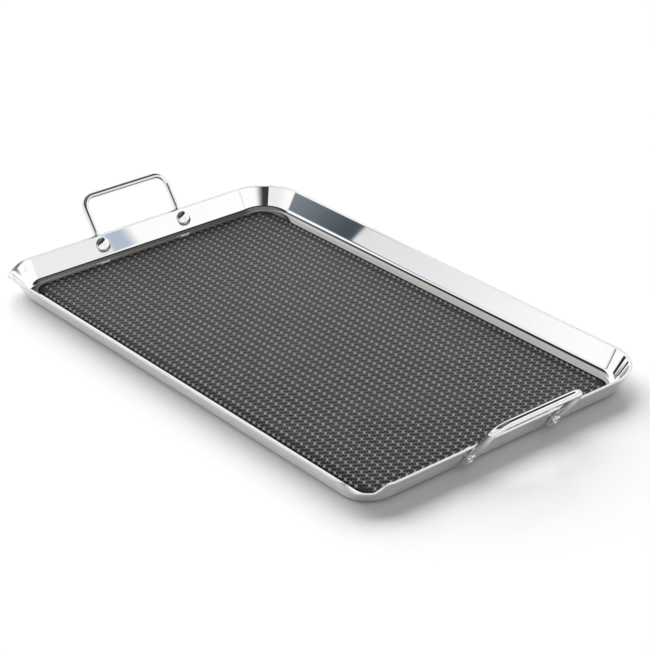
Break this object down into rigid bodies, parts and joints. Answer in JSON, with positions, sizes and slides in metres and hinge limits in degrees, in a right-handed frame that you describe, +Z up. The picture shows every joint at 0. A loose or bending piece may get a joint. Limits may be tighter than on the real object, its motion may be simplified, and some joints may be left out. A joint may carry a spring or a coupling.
{
  "type": "stovetop griddle tray",
  "caption": "Shallow rectangular clad steel griddle tray with flared walls, corner pour spouts, an etched non-stick floor and a riveted wire handle at each end.",
  "frame": {"origin": "centre of the flat underside, on the surface that the tray stands on", "axes": "+X along the long side towards the right handle, +Y across the tray towards the long side without spouts, +Z up"},
  "size_m": [0.5374, 0.305, 0.0507],
  "materials": {
    "brushed_steel_outside": "fine satin brushed stainless steel",
    "core_aluminium": "plain aluminium sheet, seen only as a thin line at the rim",
    "polished_steel_inside": "mirror-polished stainless steel",
    "etched_nonstick": "dark grey non-stick coating with a fine regular pattern of light steel marks",
    "polished_steel_wire": "polished stainless steel wire",
    "rivet_steel": "polished stainless steel"
  },
  "bodies": {
    "root": {"outer_steel_shell": "brushed_steel_outside", "aluminium_core": "core_aluminium", "inner_steel_liner": "polished_steel_inside", "nonstick_surface": "etched_nonstick", "left_handle": "polished_steel_wire", "right_handle": "polished_steel_wire", "left_front_rivet": "rivet_steel", "left_back_rivet": "rivet_steel", "right_front_rivet": "rivet_steel", "right_back_rivet": "rivet_steel"}
  },
  "joints": []
}
